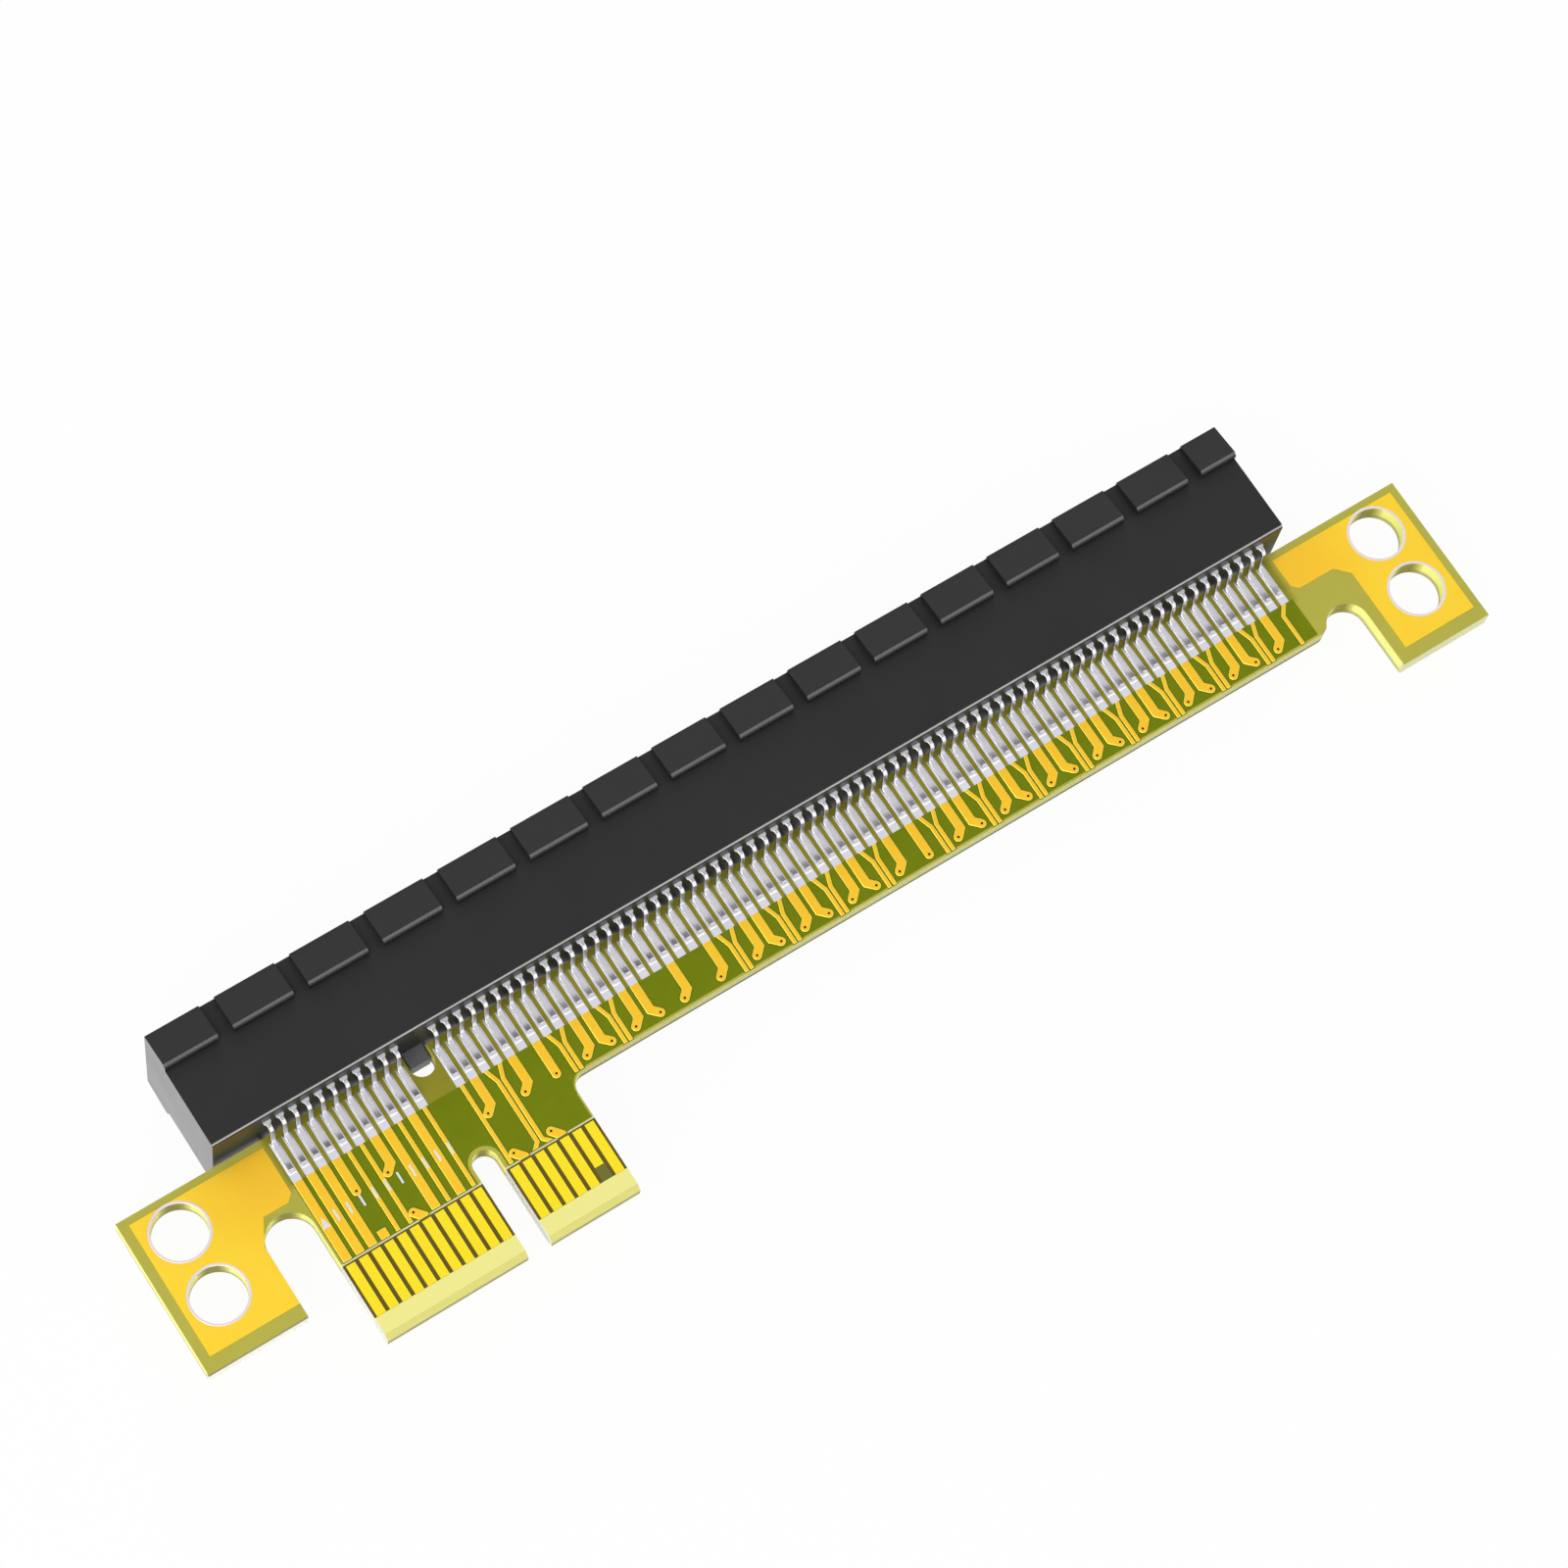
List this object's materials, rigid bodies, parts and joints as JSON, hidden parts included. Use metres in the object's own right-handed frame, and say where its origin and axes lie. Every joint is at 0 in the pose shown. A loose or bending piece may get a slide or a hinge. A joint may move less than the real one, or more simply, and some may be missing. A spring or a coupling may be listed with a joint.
{
  "type": "pcie riser card",
  "caption": "Riser card: a slim circuit board with a one lane gold edge tongue below, a sixteen lane card socket along its top and a screw ear at each end.",
  "frame": {"origin": "middle of the part's length and of its height from the tongue's end to the socket's mouth, level with the lands on the socket's back face", "axes": "+X along the socket from its first pin to its last, +Y from the tongue's end towards the socket's mouth, +Z out of the board's front face"},
  "size_m": [0.1074, 0.0256, 0.0108],
  "materials": {
    "laminate": "olive glass laminate under clear lacquer, fibrous at its cut edges",
    "socket_plastic": "moulded black plastic with a polished tail face",
    "contact_tin": "bright tin plating over spring bronze",
    "pad_tin": "smooth tin over copper",
    "finger_gold": "bright hard gold plating",
    "trace_copper": "copper seen through yellow green lacquer",
    "ear_copper": "copper seen through clear yellow lacquer",
    "field_lacquer": "dark green lacquer over the ground plane"
  },
  "bodies": {
    "root": {"back_contacts_first_lane": "contact_tin", "back_contacts_lanes_to_eight": "contact_tin", "back_contacts_lanes_to_four": "contact_tin", "back_contacts_lanes_to_sixteen": "contact_tin", "back_contacts_power": "contact_tin", "back_ear_copper": "ear_copper", "back_fingers": "finger_gold", "back_ground_field": "field_lacquer", "back_pads": "pad_tin", "circuit_board": "laminate", "front_contacts_first_lane": "contact_tin", "front_contacts_lanes_to_eight": "contact_tin", "front_contacts_lanes_to_four": "contact_tin", "front_contacts_lanes_to_sixteen": "contact_tin", "front_contacts_power": "contact_tin", "front_ear_copper": "ear_copper", "front_fingers": "finger_gold", "front_ground_field": "field_lacquer", "front_ground_traces": "trace_copper", "front_lane_traces": "trace_copper", "front_pads": "pad_tin", "front_power_traces": "trace_copper", "socket_housing": "socket_plastic"}
  },
  "joints": []
}
